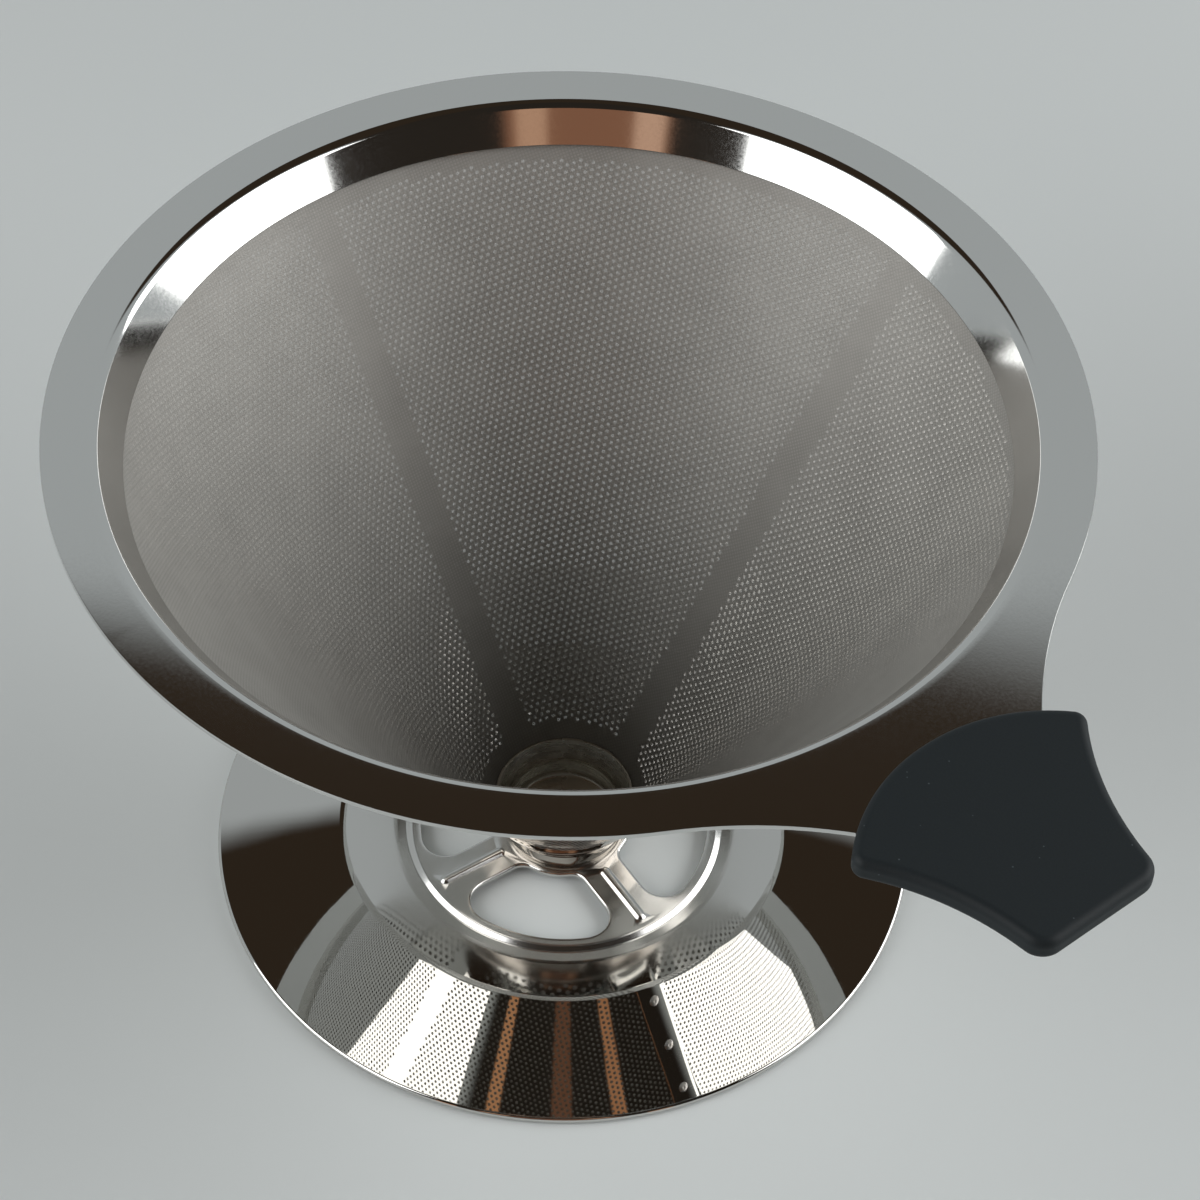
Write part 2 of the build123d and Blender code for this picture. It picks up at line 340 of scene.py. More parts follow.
ferrule_depth = cloth_sheet + perforated_sheet + 2 * sheet_gap + ferrule_sheet
ferrule_top = 9.2
ferrule_inner = ferrule_radius - ferrule_sheet
ferrule_section = [
    (0, web_top, 0),
    (ferrule_radius, web_top, 0.9),
    (ferrule_radius, cone_height(ferrule_radius, ferrule_depth), 1.0),
    (cone_radius(ferrule_top, ferrule_depth), ferrule_top, 0.12),
    (cone_radius(ferrule_top, ferrule_depth - ferrule_sheet) + 0.02, ferrule_top + 0.2, 0.12),
    (ferrule_inner, cone_height(ferrule_inner, ferrule_depth - ferrule_sheet), 1.0),
    (ferrule_inner, web_top + ferrule_sheet, 0.6),
    (0, web_top + ferrule_sheet, 0),
]
ferrule = piece(
    turned(ferrule_section, small_around), "ferrule", "dripper", ["bottom_ferrule"]
)

# Drawn stainless: faint rings round the wall where the sheet slid over the draw die. Outside,
# the ferrule is nearly bright, with a trace of brown in its darker rings; the cup is duller.
draw_ring = 0.5              # height of a draw line, millimetres


def drawn_stainless(name, smoothest, roughest, dark, light):
    material, tree, shader = finish_material(
        name, {"Base Color": linear(light), "Metallic": 1.0, "Roughness": smoothest}
    )
    place = add_node(tree, "ShaderNodeTexCoord").outputs["Object"]
    stretched = add_node(tree, "ShaderNodeMapping", {"Vector": place, "Scale": (0.12, 0.12, 1.0)})
    rings = add_node(tree, "ShaderNodeTexNoise", {
        "Vector": stretched.outputs["Vector"], "Scale": 1 / (draw_ring * MM), "Detail": 4.0,
    })
    colour = add_node(tree, "ShaderNodeMix", {
        "Factor": rings.outputs["Fac"], "A": linear(dark), "B": linear(light),
    }, data_type="RGBA")
    rough = add_node(tree, "ShaderNodeMapRange", {
        "Value": rings.outputs["Fac"], "From Min": 0.3, "From Max": 0.7,
        "To Min": smoothest, "To Max": roughest,
    })
    bump = add_node(tree, "ShaderNodeBump", {
        "Height": rings.outputs["Fac"], "Strength": 0.3, "Distance": 0.00003,
    })
    tree.links.new(colour.outputs["Result"], shader.inputs["Base Color"])
    tree.links.new(rough.outputs["Result"], shader.inputs["Roughness"])
    tree.links.new(bump.outputs["Normal"], shader.inputs["Normal"])
    return material


ferrule.data.materials.append(drawn_stainless("drawn_stainless", 0.05, 0.12, "#A39A90", "#CCC6BE"))

# ---- perforated outer cone ----
# One flat blank of thin stainless, punched in four fields with plain strips between them,
# then rolled into a cone. Each field is a piece here, cut down the middle of its strips.
hole_pitch = 0.95
hole_edge = 0.235            # plain metal left inside each hexagonal cell on each side of its hole
strip_half_width = 2.1       # plain strip beside each field
cut_margin = 1.0             # cells kept beyond the blank's edges, until they are cut off
sheet_low, sheet_high = (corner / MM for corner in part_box("outer_perforated_cone"))
field_low = ferrule_top + 0.9
field_high = 75.2            # a plain band is left under the rim
apex_height = cup_edge_height - cup_edge_radius / slope
blank_turn = sin(half_angle)    # angle on the flat blank for each unit of angle round the cone
field_turn = pi / 2 * blank_turn
blank_low = (sheet_low.z - apex_height) / cos(half_angle)
blank_high = (sheet_high.z - apex_height) / cos(half_angle)
holes_low = (field_low - apex_height) / cos(half_angle)
holes_high = (field_high - apex_height) / cos(half_angle)


def blank_cells():
    """The flat blank's whole grid of hexagonal cells, made by doubling one cell again and again."""
    bm = bmesh.new()
    bmesh.ops.create_circle(bm, cap_ends=True, segments=6, radius=hole_pitch / sqrt(3))
    row = hole_pitch * sqrt(3)
    doublings = (((hole_pitch / 2, row / 2, 0), 1), ((hole_pitch, 0, 0), 8), ((0, row, 0), 7))
    for vector, count in doublings:
        for doubling in range(count):
            copied = bmesh.ops.duplicate(bm, geom=bm.verts[:] + bm.edges[:] + bm.faces[:])["geom"]
            moved = [part for part in copied if isinstance(part, bmesh.types.BMVert)]
            bmesh.ops.translate(bm, vec=Vector(vector) * 2**doubling, verts=moved)
    bmesh.ops.translate(bm, vec=(-128 * hole_pitch, -16 * row, 0), verts=bm.verts)
    return bm


def on_blank(place):
    """Angle from the blank's middle line and distance from its apex, of a point of the flat blank."""
    return atan2(place.x, place.y), hypot(place.x, place.y)


def perforated_field(cells, index):
    """One field of the cone: its cells punched, cut to the field, thickened and rolled up."""
    middle = (index - 1.5) * field_turn
    bm = cells.copy()
    spare, punched = [], []
    for face in bm.faces:
        angle, reach = on_blank(face.calc_center_median())
        off = abs(angle - middle)
        beside = off > field_turn / 2 + hole_pitch / blank_low
        if beside or not blank_low - cut_margin < reach < blank_high + cut_margin:
            spare.append(face)
        elif holes_low < reach < holes_high and reach * sin(field_turn / 2 - off) > strip_half_width:
            punched.append(face)
    bmesh.ops.delete(bm, geom=spare, context="FACES")
    bmesh.ops.remove_doubles(bm, verts=bm.verts, dist=0.01)
    bmesh.ops.inset_individual(bm, faces=punched, thickness=hole_edge, use_even_offset=True)
    bmesh.ops.delete(bm, geom=punched, context="FACES_ONLY")
    for vertex in bm.verts:
        angle, reach = on_blank(vertex.co)
        vertex.co = (angle, reach, 0)
    cuts = (
        ((middle - field_turn / 2, 0, 0), (-1, 0, 0)),
        ((middle + field_turn / 2, 0, 0), (1, 0, 0)),
        ((0, blank_low, 0), (0, -1, 0)),
        ((0, blank_high, 0), (0, 1, 0)),
    )
    for place, normal in cuts:
        bmesh.ops.bisect_plane(
            bm, geom=bm.verts[:] + bm.edges[:] + bm.faces[:], plane_co=place, plane_no=normal,
            clear_outer=True,
        )
    skin = bmesh.ops.extrude_face_region(bm, geom=bm.faces[:], use_keep_orig=True)["geom"]
    for part in skin:
        if isinstance(part, bmesh.types.BMVert):
            part.co.z = perforated_sheet
    inner_depth = cloth_sheet + sheet_gap
    for vertex in bm.verts:
        turn = pi + vertex.co.x / blank_turn
        reach, depth = vertex.co.y, inner_depth + vertex.co.z
        radius = reach * sin(half_angle) + depth * cos(half_angle)
        height = apex_height + reach * cos(half_angle) - depth * sin(half_angle)
        vertex.co = (radius * cos(turn), radius * sin(turn), height)
    return bm


# Rolled stainless sheet, bright annealed: clear reflections with a faint grain along the
# coil. The face that lies against the cloth is rubbed dull by it.
grain_width = 0.48           # width of a rolling line, drawn coarse enough to show


def rolled_stainless():
    material, tree, shader = finish_material(
        "rolled_stainless", {"Base Color": linear("#D0CDC7"), "Metallic": 1.0, "Roughness": 0.03}
    )
    place = add_node(tree, "ShaderNodeTexCoord").outputs["Object"]
    drawn_out = add_node(tree, "ShaderNodeMapping", {"Vector": place, "Scale": (1.0, 1.0, 0.04)})
    grain = add_node(tree, "ShaderNodeTexNoise", {
        "Vector": drawn_out.outputs["Vector"], "Scale": 1 / (grain_width * MM), "Detail": 3.0,
    })
    rough = add_node(tree, "ShaderNodeMapRange", {
        "Value": grain.outputs["Fac"], "From Min": 0.3, "From Max": 0.7,
        "To Min": 0.02, "To Max": 0.05,
    })
    facing = add_node(tree, "ShaderNodeNewGeometry").outputs["Normal"]
    upward = add_node(tree, "ShaderNodeSeparateXYZ", {"Vector": facing}).outputs["Z"]
    inside = add_node(tree, "ShaderNodeMapRange", {
        "Value": upward, "From Min": 0.1, "From Max": 0.4, "To Min": 0.0, "To Max": 0.42,
    })
    total = add_node(tree, "ShaderNodeMath", {
        0: rough.outputs["Result"], 1: inside.outputs["Result"],
    }, operation="ADD")
    tree.links.new(total.outputs[0], shader.inputs["Roughness"])
    return material


cells = blank_cells()
sheet_finish = rolled_stainless()
for index in range(4):
    field = piece(
        perforated_field(cells, index), f"perforated_field_{index + 1}", "dripper",
        ["outer_perforated_cone"],
    )
    field.data.materials.append(sheet_finish)
cells.free()

# ---- seam lap and its spot welds ----
# The blank's two ends lap on the handle's side: a plain strip lies over the other end, and
# a row of resistance spot welds holds it down, each a shallow nugget with a tinted ring.
lap_half_width = 2.5
lap_low, lap_high = 10.0, 79.0
lap_depth = cloth_sheet + sheet_gap + perforated_sheet
weld_radius, weld_rise, weld_count = 0.9, 0.2, 9
weld_first, weld_pitch = 16.0, 7.4


def lap_strip():
    """The lapped end: a flat strip bent round the cone, with softened edges."""
    bm = bmesh.new()
    bmesh.ops.create_grid(bm, x_segments=8, y_segments=40, size=0.5)
    length = (lap_high - lap_low) / cos(half_angle)
    bmesh.ops.scale(bm, vec=(2 * lap_half_width, length, 1), verts=bm.verts)
    skin = bmesh.ops.extrude_face_region(bm, geom=bm.faces[:], use_keep_orig=True)["geom"]
    upper = [part for part in skin if isinstance(part, bmesh.types.BMVert)]
    bmesh.ops.translate(bm, vec=(0, 0, perforated_sheet), verts=upper)
    bmesh.ops.recalc_face_normals(bm, faces=bm.faces)
    creases = [
        edge for edge in bm.edges
        if edge.calc_face_angle(0) > creased
        and min(v.co.z for v in edge.verts) > perforated_sheet / 2
    ]
    bmesh.ops.bevel(
        bm, geom=creases, offset=0.1, offset_type="OFFSET", segments=2, profile=0.5,
        affect="EDGES", material=-1,
    )
    middle = (lap_high + lap_low) / 2
    for vertex in bm.verts:
        depth = lap_depth + vertex.co.z
        height = middle + vertex.co.y * cos(half_angle) - depth * sin(half_angle)
        radius = cone_radius(middle + vertex.co.y * cos(half_angle)) + depth * cos(half_angle)
        turn = vertex.co.x / radius
        vertex.co = (radius * cos(turn), radius * sin(turn), height)
    return bm


def weld_nuggets():
    """Nine low round nuggets on the strip, each with a shallow ring where the electrode pressed."""
    bm = bmesh.new()
    section = [
        (0, weld_rise * 0.65, 0),
        (0.3, weld_rise, 0.3),
        (weld_radius * 0.8, weld_rise * 0.7, 0.3),
        (weld_radius, 0, 0),
        (0, 0, 0),
    ]
    for index in range(weld_count):
        nugget = turned(section, 24, bend_segments=3)
        height = weld_first + weld_pitch * index
        depth = lap_depth + perforated_sheet
        place = Matrix.Translation((cone_radius(height, depth), 0, height))
        lean = Matrix.Rotation(pi / 2 + half_angle, 4, "Y")
        bmesh.ops.transform(nugget, matrix=place @ lean, verts=nugget.verts)
        merge_into(bm, nugget)
    return bm


# Heat-tinted stainless, from resistance welding: dull upset metal, mottled between the
# straw and the blue grey that the heat leaves.
heat_mottle = 0.8            # size of the mottling, millimetres


def heat_tinted_steel():
    material, tree, shader = finish_material(
        "heat_tinted_steel", {"Base Color": linear("#A8A29B"), "Metallic": 1.0, "Roughness": 0.3}
    )
    place = add_node(tree, "ShaderNodeTexCoord").outputs["Object"]
    mottle = add_node(tree, "ShaderNodeTexNoise", {
        "Vector": place, "Scale": 1 / (heat_mottle * MM), "Detail": 4.0,
    })
    tint = add_node(tree, "ShaderNodeValToRGB", {"Fac": mottle.outputs["Fac"]})
    tint.color_ramp.elements[0].color = linear("#8C8C90")
    tint.color_ramp.elements[1].color = linear("#C2BAAE")
    rough = add_node(tree, "ShaderNodeMapRange", {
        "Value": mottle.outputs["Fac"], "From Min": 0.3, "From Max": 0.7,
        "To Min": 0.22, "To Max": 0.42,
    })
    tree.links.new(tint.outputs["Color"], shader.inputs["Base Color"])
    tree.links.new(rough.outputs["Result"], shader.inputs["Roughness"])
    return material


lap = piece(lap_strip(), "seam_lap", "dripper", ["outer_perforated_cone"])
lap.data.materials.append(sheet_finish)
weld_finish = heat_tinted_steel()
welds = piece(weld_nuggets(), "spot_welds", "dripper", ["seam_spot_welds"])
welds.data.materials.append(weld_finish)

# ---- woven cloth cone ----
# The filter itself: very fine stainless wire cloth, cut as a flat fan and rolled into the
# cone inside the perforated sheet. It is open enough for the holes behind to show through.
cloth_section = [
    (cone_radius(cloth_low.z), cloth_low.z, 0),
    (cone_radius(cloth_high.z), cloth_high.z, 0),
    (cone_radius(cloth_high.z, cloth_sheet), cloth_high.z, 0),
    (cone_radius(cloth_low.z, cloth_sheet), cloth_low.z, 0),
]


def lay_out_flat(bm):
    """Gives each corner its place on the flat fan, in millimetres, as the cloth's own map."""
    layer = bm.loops.layers.uv.new("flat")
    for face in bm.faces:
        centre = face.calc_center_median()
        middle = atan2(-centre.y, -centre.x)
        for loop in face.loops:
            place = loop.vert.co
            turn = atan2(-place.y, -place.x)
            turn += 2 * pi * round((middle - turn) / (2 * pi))
            reach = (place.z - apex_height) / cos(half_angle)
            loop[layer].uv = (reach * sin(turn * blank_turn), reach * cos(turn * blank_turn))


# Woven stainless cloth: each wire shines, but the weave scatters the light into a soft
# grey sheen. The real wires are 0.05 mm apart; the weave is drawn coarser so that it shows.
weave_pitch = 0.42
cloud_size = 25 / 3          # length of the uneven patches that handling leaves, millimetres
cloth_cover = 0.55           # share of each face of the cloth that its wires cover


def woven_cloth():
    material, tree, shader = finish_material(
        "woven_stainless_cloth",
        {"Base Color": linear("#B3B1AC"), "Metallic": 0.35, "Roughness": 0.6, "Alpha": cloth_cover},
    )
    flat = add_node(tree, "ShaderNodeUVMap", uv_map="flat").outputs["UV"]
    waves = []
    for direction in ("X", "Y"):
        wave = add_node(tree, "ShaderNodeTexWave", {
            "Vector": flat, "Scale": pi / 10 / weave_pitch, "Distortion": 0.4, "Detail": 1.0,
            "Detail Scale": 0.5,
        }, wave_type="BANDS", bands_direction=direction, wave_profile="SIN")
        waves.append(wave.outputs["Fac"])
    weave = add_node(tree, "ShaderNodeMath", {0: waves[0], 1: waves[1]}, operation="MULTIPLY")
    cloudy = add_node(tree, "ShaderNodeTexNoise", {
        "Vector": flat, "Scale": 1 / cloud_size, "Detail": 3.0,
    })
    shade = add_node(tree, "ShaderNodeMath", {
        0: weave.outputs[0], 1: cloudy.outputs["Fac"],
    }, operation="ADD")
    colour = add_node(tree, "ShaderNodeMix", {
        "Factor": shade.outputs[0], "A": linear("#A4A29D"), "B": linear("#C2C0BB"),
    }, data_type="RGBA")
    bump = add_node(tree, "ShaderNodeBump", {
        "Height": weave.outputs[0], "Strength": 0.25, "Distance": 0.00004,
    })
    tree.links.new(colour.outputs["Result"], shader.inputs["Base Color"])
    tree.links.new(bump.outputs["Normal"], shader.inputs["Normal"])
    return material


cloth_bm = turned(cloth_section, 480, closed=True)
lay_out_flat(cloth_bm)
cloth = piece(cloth_bm, "wire_cloth_cone", "dripper", ["inner_mesh_cone"])
cloth.data.materials.append(woven_cloth())

# ---- bottom cup and hub rivet ----
# A drawn cup pressed down inside the cloth clamps its lower edge and closes the cone. One
# rivet through its floor holds the cup, the ferrule and the web together.
cup_low, cup_high = (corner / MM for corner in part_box("bottom_cup"))
cup_sheet, cup_wall = 0.4, 7.75
cup_edge = (cone_radius(cup_high.z, -sheet_gap), cup_high.z)
cup_inner = cup_wall - cup_sheet
cup_section = [
    (0, cup_low.z, 0),
    (cup_wall, cup_low.z, 0.9),
    (cup_wall, cone_height(cup_wall, -sheet_gap), 1.0),
    (cup_edge[0], cup_edge[1], 0.12),
    (cup_edge[0] - cup_sheet / cos(half_angle), cup_edge[1], 0.12),
    (cup_inner, cone_height(cup_inner, -sheet_gap - cup_sheet), 1.0),
    (cup_inner, cup_low.z + cup_sheet, 0.8),
    (0, cup_low.z + cup_sheet, 0),
]
cup = piece(turned(cup_section, small_around), "clamp_cup", "dripper", ["bottom_cup"])
# Painted light: the cup and the rivet take the drawn stainless in colours much lighter than the
# ferrule's, so that they read lighter down inside the cone.
cup_finish_painted_lighter = drawn_stainless("drawn_stainless_painted_lighter", 0.20, 0.34, "#D2D0C6", "#F0EEE6")
cup.data.materials.append(cup_finish_painted_lighter)

rivet_low, rivet_high = (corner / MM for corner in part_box("hub_rivet"))
rivet_head, rivet_shank = rivet_high.x, 2.0
rivet_seat = cup_low.z + cup_sheet
web_under = web_top - stand_sheet
rivet_section = [
    (0, rivet_low.z, 0),
    (2.7, rivet_low.z, 0),
    (3.2, web_under, 0),
    (rivet_shank, web_under, 0),
    (rivet_shank, rivet_seat, 0),
    (rivet_head, rivet_seat, 0),
    (rivet_head * 0.93, rivet_seat + 0.35, 0.6),
    (rivet_head * 0.45, rivet_high.z, 1.4),
    (0, rivet_high.z, 0),
]
rivet = piece(turned(rivet_section, 64), "rivet", "dripper", ["hub_rivet"])
rivet.data.materials.append(cup_finish_painted_lighter)

# ---- rim ----
# Pressed from one sheet: a flat flange with the handle's tab, a rolled shoulder and a
# conical lip that covers the upper edge of both cones.
rim_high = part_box("rim_flange")[1] / MM
rim_radius, rim_top = rim_high.y, rim_high.z
rim_sheet, rim_edge_round = 0.7, 0.12
lip_radius, lip_height = 53.1, 77.3
shoulder_radius = lip_radius + slope * (rim_top - lip_height)
flat_join = shoulder_radius + 1.6    # the turned part begins in the flat, just outside its bend
neck_angle = radians(28.0)      # the flange's round edge leaves for the neck here
neck_end = Vector((66.8, 14.2, 0))
tab_half_width, tab_start, tab_end = 7.6, 74.0, rim_high.x


def arc_from(bm, start, centre, angle, steps):
    """A wire arc, from a point turned about a centre; returns its two ends."""
    vertex = bm.verts.new(start)
    made = bmesh.ops.spin(
        bm, geom=[vertex], cent=centre, axis=(0, 0, 1), dvec=(0, 0, 0), angle=angle, steps=steps
    )["geom_last"]
    return vertex, [part for part in made if isinstance(part, bmesh.types.BMVert)][0]


def flange_outline(bm):
    """The flange's round edge running into the tab, as a closed wire."""
    leave = Vector((rim_radius * cos(neck_angle), rim_radius * sin(neck_angle), 0))
    outward = leave.normalized()
    across = neck_end - leave
    neck_radius = across.length_squared / (2 * across.dot(outward))
    neck_centre = leave + outward * neck_radius
    swing = (leave - neck_centre).angle(neck_end - neck_centre)
    arc_from(bm, leave, (0, 0, 0), 2 * (pi - neck_angle), 220)
    corners = [Vector((tab_start, tab_half_width, 0)), Vector((tab_end, tab_half_width, 0))]
    ends = []
    for side in (1, -1):
        flip = Vector((1, side, 1))
        first, last = arc_from(bm, leave * flip, neck_centre * flip, swing * side, 10)
        waist, tip = (bm.verts.new(corner * flip) for corner in corners)
        bm.edges.new((last, waist))
        bm.edges.new((waist, tip))
        ends.append((waist, tip))
    bm.edges.new((ends[0][1], ends[1][1]))
    for waist, tip in ends:
        bend_corner(bm, waist, 6.0, 6)
        bend_corner(bm, tip, 3.0, 8)
    bmesh.ops.remove_doubles(bm, verts=bm.verts, dist=0.005)


def rim():
    """The whole rim: its flat part filled between the outline and the turned shoulder."""
    bm = bmesh.new()
    flange_outline(bm)
    bmesh.ops.create_circle(bm, cap_ends=False, segments=around, radius=flat_join)
    bmesh.ops.triangle_fill(bm, use_beauty=True, use_dissolve=False, edges=bm.edges[:])
    bmesh.ops.translate(bm, vec=(0, 0, rim_top), verts=bm.verts)
    bmesh.ops.recalc_face_normals(bm, faces=bm.faces)
    if bm.faces[0].normal.z < 0:
        bmesh.ops.reverse_faces(bm, faces=bm.faces[:])
    under = bmesh.ops.duplicate(bm, geom=bm.verts[:] + bm.edges[:] + bm.faces[:])["geom"]
    bmesh.ops.reverse_faces(bm, faces=[part for part in under if isinstance(part, bmesh.types.BMFace)])
    lower = [part for part in under if isinstance(part, bmesh.types.BMVert)]
    bmesh.ops.translate(bm, vec=(0, 0, -rim_sheet), verts=lower)
    walls = [
        edge for edge in bm.edges
        if edge.is_boundary and min(vertex.co.xy.length for vertex in edge.verts) > flat_join + 0.1
    ]
    bmesh.ops.bridge_loops(bm, edges=walls)
    bmesh.ops.bevel(
        bm, geom=[edge for edge in walls if edge.is_valid], offset=rim_edge_round,
        offset_type="OFFSET", segments=2, profile=0.5, affect="EDGES", material=-1,
    )
    lean = rim_sheet / cos(half_angle)
    section = [
        (flat_join, rim_top, 0),
        (shoulder_radius, rim_top, 1.5),
        (lip_radius, lip_height, rim_edge_round),
        (
            lip_radius + rim_sheet * cos(half_angle), lip_height - rim_sheet * sin(half_angle),
            rim_edge_round,
        ),
        (shoulder_radius + lean - rim_sheet * slope, rim_top - rim_sheet, 0.8),
        (flat_join, rim_top - rim_sheet, 0),
    ]
    merge_into(bm, turned(section, around, bend_segments=8))
    return bm


rim_piece = piece(rim(), "rim_pressing", "dripper", ["rim_flange"], flat_first=True)

# Satin stainless: the flange is a soft mirror with a fine grain, and the shoulder and the
# lip are a little duller, where the press drew the sheet down.
satin_grain = 0.35           # width of the grain, millimetres


def satin_stainless():
    material, tree, shader = finish_material(
        "satin_stainless", {"Base Color": linear("#D6D6D4"), "Metallic": 1.0, "Roughness": 0.055}
    )
    place = add_node(tree, "ShaderNodeTexCoord").outputs["Object"]
    height = add_node(tree, "ShaderNodeSeparateXYZ", {"Vector": place}).outputs["Z"]
    flatness = add_node(tree, "ShaderNodeMapRange", {
        "Value": height, "From Min": (rim_top - 0.9) * MM, "From Max": (rim_top - 0.05) * MM,
        "To Min": 0.09, "To Max": 0.055,
    }).outputs["Result"]
    grain = add_node(tree, "ShaderNodeTexNoise", {
        "Vector": place, "Scale": 1 / (satin_grain * MM), "Detail": 4.0, "Roughness": 0.6,
    })
    spread = add_node(tree, "ShaderNodeMapRange", {
        "Value": grain.outputs["Fac"], "From Min": 0.3, "From Max": 0.7, "To Min": 0.7, "To Max": 1.3,
    })
    rough = add_node(tree, "ShaderNodeMath", {
        0: flatness, 1: spread.outputs["Result"],
    }, operation="MULTIPLY")
    bump = add_node(tree, "ShaderNodeBump", {
        "Height": grain.outputs["Fac"], "Strength": 0.05, "Distance": 0.00001,
    })
    tree.links.new(rough.outputs[0], shader.inputs["Roughness"])
    tree.links.new(bump.outputs["Normal"], shader.inputs["Normal"])
    return material


rim_piece.data.materials.append(satin_stainless())

# ---- silicone grip ----
# A moulded silicone sleeve that stretches over the steel tab and grips it by friction. It
# pulls off for washing.
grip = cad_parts["handle_grip"]

# Silicone rubber, moulded in a fine-blasted tool: deep blue grey, matt, with a very fine
# grain and a few specks of the dust that silicone always holds.
grip_grain = 0.25            # size of the blasted tool's grain, millimetres
dust_spacing = 2.4           # from speck to speck, millimetres


def moulded_silicone():
    material, tree, shader = finish_material(
        "moulded_silicone", {"Base Color": linear("#141C20"), "Roughness": 0.6, "IOR": 1.41}
    )
    place = add_node(tree, "ShaderNodeTexCoord").outputs["Object"]
    grain = add_node(tree, "ShaderNodeTexNoise", {
        "Vector": place, "Scale": 1 / (grip_grain * MM), "Detail": 3.0, "Roughness": 0.7,
    })
    colour = add_node(tree, "ShaderNodeMix", {
        "Factor": grain.outputs["Fac"], "A": linear("#0E1518"), "B": linear("#1A2327"),
    }, data_type="RGBA")
    specks = add_node(tree, "ShaderNodeTexVoronoi", {
        "Vector": place, "Scale": 1 / (dust_spacing * MM),
    })
    dust = add_node(tree, "ShaderNodeMapRange", {
        "Value": specks.outputs["Distance"], "From Min": 0.03, "From Max": 0.05,
        "To Min": 0.35, "To Max": 0.0,
    })
    dusty = add_node(tree, "ShaderNodeMix", {
        "Factor": dust.outputs["Result"], "A": colour.outputs["Result"], "B": linear("#6E777C"),
    }, data_type="RGBA")
    bump = add_node(tree, "ShaderNodeBump", {
        "Height": grain.outputs["Fac"], "Strength": 0.35, "Distance": 0.00003,
    })
    tree.links.new(dusty.outputs["Result"], shader.inputs["Base Color"])
    tree.links.new(bump.outputs["Normal"], shader.inputs["Normal"])
    return material


grip.data.materials.clear()
grip.data.materials.append(moulded_silicone())

# ---- studio ----
# A plain pale table between two softboxes. A pale wall goes round it, with a dark front on
# the camera's side that has copper strips in it, and the room above the wall is dark.
floor_bm = bmesh.new()
bmesh.ops.create_circle(floor_bm, cap_ends=True, segments=64, radius=3.0)
floor_mesh = bpy.data.meshes.new("table")
floor_bm.to_mesh(floor_mesh)
floor_bm.free()
floor = bpy.data.objects.new("table", floor_mesh)
bpy.context.scene.collection.objects.link(floor)
floor.location.z = stand_low.z * MM - 0.0001
floor_finish = finish_material("matt_white_table", {"Base Color": linear("#DDE2E2"), "Roughness": 0.5})
floor.data.materials.append(floor_finish[0])

world = bpy.data.worlds.new("room")
bpy.context.scene.world = world
world.use_nodes = True
sky = world.node_tree
direction = add_node(sky, "ShaderNodeTexCoord").outputs["Generated"]
parts = add_node(sky, "ShaderNodeSeparateXYZ", {"Vector": direction})
above = add_node(sky, "ShaderNodeMath", {0: parts.outputs["Z"]}, operation="ARCSINE").outputs[0]
turn = add_node(sky, "ShaderNodeMath", {
    0: parts.outputs["Y"], 1: parts.outputs["X"],
}, operation="ARCTAN2").outputs[0]
wall = linear("#B2B7B8")
room = linear("#332A21")


def soft_step(value, low, high):
    """0 below one angle and 1 above the other, in degrees."""
    return add_node(sky, "ShaderNodeMapRange", {
        "Value": value, "From Min": radians(low), "From Max": radians(high),
    }, interpolation_type="SMOOTHSTEP").outputs["Result"]


def layer(below, colour, mask):
    """A colour laid over what is below it, where its mask is 1."""
    return add_node(sky, "ShaderNodeMix", {
        "Factor": mask, "A": below, "B": colour,
    }, data_type="RGBA").outputs["Result"]


def near_turn(middle, inner, outer):
    """1 within inner degrees of a direction round the table, fading to 0 at outer degrees."""
    offset = add_node(sky, "ShaderNodeMath", {
        0: turn, 1: radians(middle),
    }, operation="SUBTRACT").outputs[0]
    cosine = add_node(sky, "ShaderNodeMath", {0: offset}, operation="COSINE").outputs[0]
    return add_node(sky, "ShaderNodeMapRange", {
        "Value": cosine, "From Min": cos(radians(outer)), "From Max": cos(radians(inner)),
    }, interpolation_type="SMOOTHSTEP").outputs["Result"]


def times(first, second):
    return add_node(sky, "ShaderNodeMath", {0: first, 1: second}, operation="MULTIPLY").outputs[0]


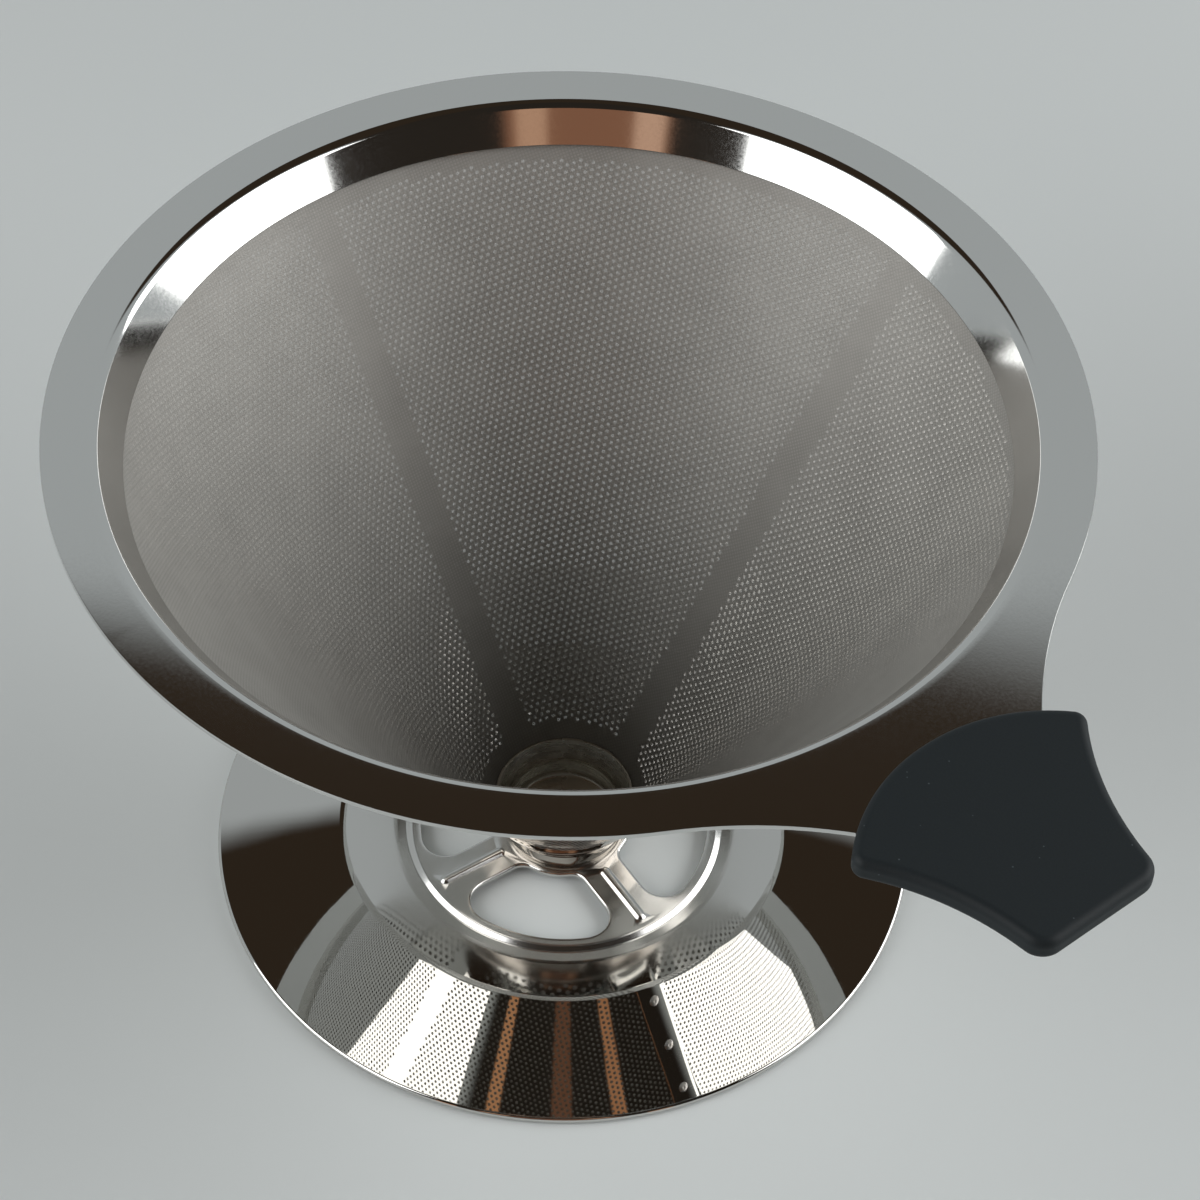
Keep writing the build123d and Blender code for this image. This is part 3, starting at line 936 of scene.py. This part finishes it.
camera_side = -38.2          # bearing of the camera round the table, degrees
colour = layer(wall, room, soft_step(above, 48.0, 50.5))
front = times(near_turn(camera_side + 9, 47, 53), soft_step(above, -3.0, 0.0))
colour = layer(colour, linear("#2C2722"), front)
shelf_band = times(soft_step(above, 17, 21), soft_step(above, 38, 34))
low_front = soft_step(above, 15, 12)
copper_strips = (            # offset from the camera's bearing, inner and outer half width, colour
    (-3.0, 17.0, 21.0, "#8C624B", shelf_band),
    (10.0, 2.5, 4.5, "#C59A7D", shelf_band),
    (-17.5, 2.5, 4.5, "#D0A78C", shelf_band),
    (-29.5, 2.2, 3.4, "#D29A70", low_front),
    (1.0, 3.8, 5.0, "#7C5742", low_front),
    (26.0, 2.6, 3.8, "#C08A64", low_front),
)
for offset, inner, outer, tint, height_band in copper_strips:
    strip = times(near_turn(camera_side + offset, inner, outer), height_band)
    colour = layer(colour, linear(tint), strip)
background = sky.nodes["Background"]
sky.links.new(colour, background.inputs["Color"])
background.inputs["Strength"].default_value = 1.0


def softbox(name, bearing, elevation, distance, width, height, power):
    """A softbox aimed at the dripper, at a bearing round the table and an elevation in degrees."""
    lamp = bpy.data.lights.new(name, "AREA")
    lamp.shape = "RECTANGLE"
    lamp.size, lamp.size_y = width, height
    lamp.energy = power
    holder = bpy.data.objects.new(name, lamp)
    bpy.context.scene.collection.objects.link(holder)
    flat = cos(radians(elevation)) * distance
    aim = Vector((0, 0, rim_top * MM / 2))
    holder.location = aim + Vector((
        flat * cos(radians(bearing)), flat * sin(radians(bearing)), sin(radians(elevation)) * distance
    ))
    holder.rotation_euler = (aim - holder.location).to_track_quat("-Z", "Y").to_euler()


softbox("softbox_right", 52.8, 28.0, 0.9, 1.00, 0.66, 5.8)
softbox("softbox_left", -106.2, 28.0, 0.9, 0.80, 0.66, 4.3)

# The camera looks down on the near side of the cone, with the handle low on the right.
camera = bpy.data.objects.new("camera", bpy.data.cameras.new("camera"))
bpy.context.scene.collection.objects.link(camera)
camera.data.lens = 97.0
camera.data.sensor_width = 36.0
camera.data.clip_start = 0.01
camera.location = (0.2102, -0.1654, 0.3580)
aim = Vector((0.0105, -0.0032, 0.060)) - camera.location
tilt = Matrix.Rotation(radians(1.536), 4, "Z")
look = aim.to_track_quat("-Z", "Y").to_matrix().to_4x4()
camera.matrix_world = Matrix.Translation(camera.location) @ look @ tilt
bpy.context.scene.camera = camera
bpy.context.scene.view_settings.view_transform = "Standard"
